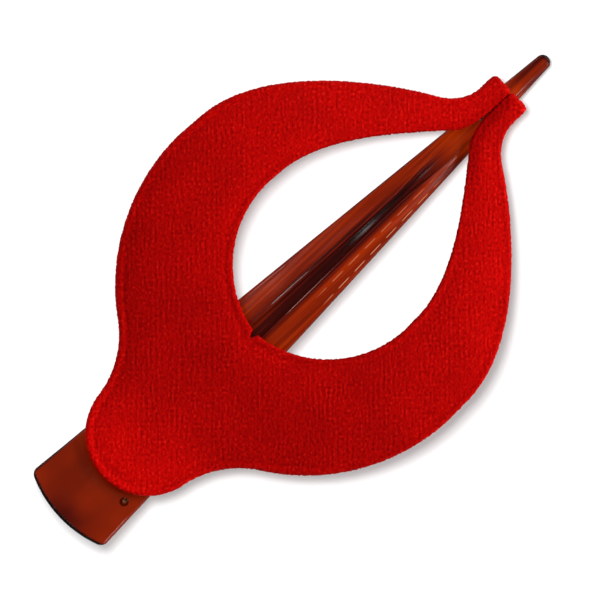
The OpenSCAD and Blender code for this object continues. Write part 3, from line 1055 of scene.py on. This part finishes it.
def petal_cover():
    """Crepe wrapped over the padded board and turned under its edge, as one closed skin."""
    relief, shape = [], Shape()
    # Outside of the rolled edge, from the hem's underside up, as (depth, height, cloth run)
    rows = [(0.6, HEM_LOW, 2.1), (0.3, 0.46, 1.8), (0.1, 0.66, 1.5), (0.0, 0.95, 1.2),
            (0.0, 1.3, 0.85), (0.0, 1.62, 0.5), (0.02, 1.86, 0.25)]
    rings = []
    for depth, z, run in rows:
        rings.append(shape.add(petal_points(inset(OUTLINE, depth), z)))
        relief.append(crepe(inset(OUTLINE, -run)))
    shape.skin(rings)
    side = shape.count
    # Top, with rows of points at these depths inside its edge
    near = [within(COARSE_OUTLINE, inset(OUTLINE, depth), depth - 0.04)
            for depth in (0.24, 0.42, 0.64, 0.88, 1.12, 1.36, 1.6)]
    grid = within(COARSE_OUTLINE, lattice(0.21, 0.35), 1.75)
    flat, faces, (rim_ids,) = fill([inset(OUTLINE, 0.1)], np.concatenate([*near, grid]))
    d = distance_to(COARSE_OUTLINE, flat)
    d[rim_ids] = 0.1
    top = shape.add(petal_points(flat, cover_height(flat, d)))
    relief.append(crepe(flat))
    shape.triangles(faces, top)
    shape.strip(rings[-1], top[rim_ids])
    outside = shape.count
    # Underside of the hem
    hem = spaced(bare_outline(), 1.0)
    grid = clear_of(hem, within(COARSE_OUTLINE, lattice(0.8, 0.8), 1.2), 0.5)
    flat, faces, (brim_ids, hem_ids) = fill([inset(OUTLINE, 0.6), hem], grid)
    under = shape.add(petal_points(flat, HEM_LOW))
    shape.triangles(faces, under, flip=True)
    relief.append(crepe(flat))
    welded = [(under[i], rings[0][k]) for k, i in enumerate(brim_ids)]
    # Inside faces, from the hem's free edge round to the underside of the top
    fold = shape.add(petal_points(hem, HEM_TOP))
    shape.strip(under[hem_ids], fold)
    wall = inset(COARSE_OUTLINE, 0.45)
    grid = within(wall, lattice(1.3, 1.3), 0.6)
    flat, faces, (wall_ids, fold_ids) = fill([wall, hem], clear_of(hem, grid, 0.6))
    back = shape.add(petal_points(flat, HEM_TOP + 0.04))
    shape.triangles(faces, back)
    welded += [(back[i], fold[k]) for k, i in enumerate(fold_ids)]
    flat2, faces2, (ceiling_ids,) = fill([wall], grid)
    d = distance_to(COARSE_OUTLINE, flat2)
    ceiling = np.maximum(cover_height(flat2, d) - CREPE_T, BOARD_TOP + 0.04)
    roof = shape.add(petal_points(flat2, ceiling))
    shape.triangles(faces2, roof, flip=True)
    shape.strip(back[wall_ids], roof[ceiling_ids])
    relief.append(np.full(shape.count - sum(len(r) for r in relief), 0.4))
    return welded_cover(shape, welded, np.concatenate(relief), side, outside)


def welded_cover(shape, welded, relief, side, outside):
    """The cover with its doubled points made one and its relief raised."""
    same = np.arange(shape.count)
    for drop, keep in welded:
        same[drop] = keep
    faces = [same[f] for f in shape.faces]
    used = np.unique(np.concatenate(faces))
    renumber = np.full(shape.count, -1)
    renumber[used] = np.arange(len(used))
    points = np.concatenate(shape.points)[used]
    piece = mesh_piece("petal_crepe", points, [renumber[f].tolist() for f in faces])
    height = np.where(used < side, EDGE_RELIEF_H, RELIEF_H)
    raised = np.where(used < outside, height * (relief[used] - 0.55), 0)
    co = coordinates(piece) + read(piece.data.vertex_normals, "vector") * raised[:, None]
    piece.data.vertices.foreach_set("co", (co * MM).astype(np.float32).ravel())
    piece.data.update()
    # The relief sets the crepe's colour, so taking the arms' painted shade off it paints the crepe
    # darker near the seam.
    set_attributes(piece, relief=relief[used] - arm_shade(points[:, :2]))
    return piece


def layer(name, loop, step, low, high, wavy=0.0):
    """A closed sheet of petal shape between two heights, given as functions of the points."""
    shape = Shape()
    flat, faces, (edge,) = fill([loop], within(loop, lattice(step, step), 0.5 * step))
    ripple = wavy * drift(flat, 2.6, 9)
    bottom = shape.add(petal_points(flat, low(flat) + ripple))
    top = shape.add(petal_points(flat, high(flat) + ripple))
    shape.triangles(faces, bottom, flip=True)
    shape.triangles(faces, top)
    shape.strip(bottom[edge], top[edge])
    return shape.piece(name)


def petal_lining():
    loop = spaced(inset(COARSE_OUTLINE, LINING_INSET), 0.7)

    def low(p):
        return 0.05 * smooth(0.8, 0.0, distance_to(loop, p))

    return layer("petal_lining_cloth", loop, 0.8, low, lambda p: LINING_T - 0.02, 0.03), loop


def petal_wadding():
    loop = within(COARSE_OUTLINE, spaced(inset(COARSE_OUTLINE, 1.6), 1.0), 1.4)

    def high(p):
        top = cover_height(p, distance_to(COARSE_OUTLINE, p)) - 0.42
        return np.maximum(top + 0.12 * drift(p, 1.1, 2), BOARD_TOP + 0.1)

    return layer("petal_fleece", loop, 0.9, lambda p: BOARD_TOP + 0.03, high)


def glue_pad(name, pad):
    """Hot glue squeezed flat under the petal, with an uneven bulging edge."""
    x0, x1, half = pad
    middle, reach = (x0 + x1) / 2, (x1 - x0) / 2
    around = full_turn(96)
    swell = np.array([noise.noise(Vector((3 * math.cos(a), 3 * math.sin(a), x0))) for a in around])
    # A rectangle with well rounded corners
    rim_x, rim_y = (np.sign(c) * np.abs(c) ** 0.45 for c in (np.cos(around), np.sin(around)))
    rings = []
    # Rings as (share of the way out, share of the way up)
    under = [(0.04, 0), (0.4, 0), (0.75, 0), (0.93, 0), (0.97, 0.12)]
    side = [(0.995, 0.3), (1.0, 0.5), (0.995, 0.7), (0.97, 0.88)]
    over = [(0.93, 1), (0.75, 1), (0.4, 1), (0.04, 1)]
    for share, up in under + side + over:
        grow = share * (1 + 0.06 * swell * share) * 0.96
        x, y = middle + reach * rim_x * grow, half * rim_y * grow
        low = top_line(x) - 0.55 * (y / half_width(x)) ** 2 + 0.02
        high = petal_line(x) - 0.02
        rings.append(np.stack([x, y, low + (high - low) * up], 1))
    return loft(name, rings)


# --- Stage ---

CAMERA_AT, CAMERA_TURN = Vector((-2.55, -1.35, 17.0)) * MM, math.radians(-43.25)
CAMERA_RIGHT = Vector((math.cos(CAMERA_TURN), math.sin(CAMERA_TURN), 0))
CAMERA_UP = Vector((-math.sin(CAMERA_TURN), math.cos(CAMERA_TURN), 0))
VIEW_WIDTH, CAMERA_HEIGHT, SENSOR = 116.65 * MM, 1.6, 36.0


def camera():
    data = bpy.data.cameras.new("camera")
    data.sensor_width, data.lens = SENSOR, SENSOR * CAMERA_HEIGHT / VIEW_WIDTH
    made = add_object("camera", data)
    made.location = CAMERA_AT + Vector((0, 0, CAMERA_HEIGHT))
    made.rotation_euler = (0, 0, CAMERA_TURN)
    bpy.context.scene.camera = made


def floor():
    half = 3.0
    mesh = bpy.data.meshes.new("floor")
    mesh.from_pydata([(-half, -half, 0), (half, -half, 0), (half, half, 0), (-half, half, 0)], [],
                     [(0, 1, 2, 3)])
    made = add_object("floor", mesh)
    m = new_material("floor_paper", Roughness=0.9, Specular_IOR_Level=0.1)
    mesh.materials.append(m.finish(Base_Color=(0.93, 0.93, 0.93, 1)))
    made.location.z = -0.0001
    made.visible_glossy = False
    made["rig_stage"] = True


def area_light(name, toward, elevation, size, level, lit, shaded_by=None):
    """A square soft box a metre away in this direction over the floor, at this elevation.
    level is how bright it makes a white surface that faces it, lit is what it lights, and only
    shaded_by, where it is given, casts shadows in it."""
    data = bpy.data.lights.new(name, "AREA")
    data.size, data.energy = size, level * math.pi**2
    made = add_object(name, data)
    e, toward = math.radians(elevation), toward.normalized()
    out = Vector((toward.x * math.cos(e), toward.y * math.cos(e), math.sin(e)))
    made.location = out
    turn(made, -out, "-Z")
    made.visible_camera = False
    made.light_linking.receiver_collection = lit
    made.light_linking.blocker_collection = shaded_by
    return made


def lights():
    """The key and the fill light the clip, a glow stands for light inside the plastic, and two
    lights overhead, one of them without the clip's shadow, light the floor."""
    clip, jaws, ground = (bpy.data.collections.new(name) for name in ("clip", "jaws", "ground"))
    for piece in bpy.context.scene.objects:
        if piece.type == "MESH":
            (ground if piece.get("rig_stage") else clip).objects.link(piece)
            if piece.name.endswith(("jaw_shell", "wire")):
                jaws.objects.link(piece)
    right, up = CAMERA_RIGHT, CAMERA_UP
    for soft in (area_light("key", right * 0.95 + up * 0.05, 30, 0.8, 1.32, clip),
                 area_light("fill", up * 0.6 - right * 0.6, 60, 0.6, 0.36, clip),
                 area_light("glow", Vector((0, 1, 0)), 55, 0.6, 0.42, jaws, jaws)):
        soft.visible_glossy = False
    for shine in (area_light("gloss", right, 40, 0.16, 0.05, clip),
                  area_light("back_gloss", up - right * 0.9, 52, 0.2, 0.08, clip),
                  area_light("spark", Vector((1, 0, 0)), 71, 0.04, 0.003, clip)):
        shine.visible_diffuse = False
    area_light("overhead", up * 0.7 - right * 0.7, 85, 0.13, 0.68, ground)
    area_light("overhead_even", up * 0.7 - right * 0.7, 80, 0.9, 0.60, ground, ground)
    studio_walls()
    bpy.context.scene.view_settings.view_transform = "Standard"


def studio_walls():
    """White walls all round, dark above and below: a pale background from the side, and
    plastic that stays deep from above."""
    m = Nodes(bpy.data.worlds.new("studio"), "Background", "Generated")
    height = m.maths("ABSOLUTE", m.axis("Z"))
    fade = m.spread(height, 0.12, 0.42, 0.6, 0.05, "SMOOTHSTEP")
    bpy.context.scene.world = m.finish(Color=(1, 1, 1, 1), Strength=fade)


# --- Assembly ---


def place(piece, body, node, material):
    """Dresses a finished piece and puts it on its body, in place of its CAD node."""
    piece.data.materials.clear()
    piece.data.materials.append(material)
    if body:
        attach(piece, body)
    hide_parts(node)


def add_jaws():
    upper, lower = upper_jaw(), lower_jaw()
    for jaw, tint in ((upper, (1, 1, 1, 1)), (lower, (0.75, 0.7, 0.7, 1))):
        set_tone(jaw)
        shade(jaw)
        body = jaw.name.split("_")[0]
        material = plastic_material(body + "_tortoiseshell", tint)
        place(jaw, body, body + "_jaw", material)


def add_hinge():
    pin = hinge_pin()
    shade(pin)
    bright = steel_material("pin_steel", 1.0, (0.42, 0.42, 0.43), (0.66, 0.66, 0.65))
    place(pin, "upper", "hinge_pin", bright)
    spring = tube("spring_wire", spring_path(), WIRE_R)
    # The spring's brown is its heat tint, made paler orange as a painted reflection of the plastic
    # round its end in the tab's hole.
    browned = steel_material("browned_spring_steel", 0.7, (0.30, 0.11, 0.045),
                             (0.66, 0.24, 0.10))
    place(spring, None, "torsion_spring", browned)
    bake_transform(spring)


def add_glue():
    glue = glue_material()
    for name, node, pad in (("rear_glue", "glue_pad_rear", REAR_PAD),
                            ("tip_glue", "glue_pad_tip", TIP_PAD)):
        place(glue_pad(name, pad), "upper", node, glue)


def add_petal():
    cover = petal_cover()
    place(cover, "upper", "petal_cover", crepe_material())
    fleece = petal_wadding()
    fibres = fibre_material("wadding", 0.7, 6, 0.5, (0.66, 0.65, 0.62), (0.88, 0.87, 0.85), 0.2,
                            Sheen_Weight=0.4, Roughness=1.0)
    place(fleece, "upper", "petal_wadding", fibres)
    lining, loop = petal_lining()
    place(lining, "upper", "petal_lining", lining_material())
    board = frame["nodes"]["petal_board"]
    board.data.materials.clear()
    board.data.materials.append(fibre_material(
        "grey_board", 0.9, 5, 0.4, (0.24, 0.23, 0.21), (0.44, 0.43, 0.40), 0.05, Roughness=0.9))


camera()
floor()
add_jaws()
add_hinge()
add_glue()
add_petal()
lights()
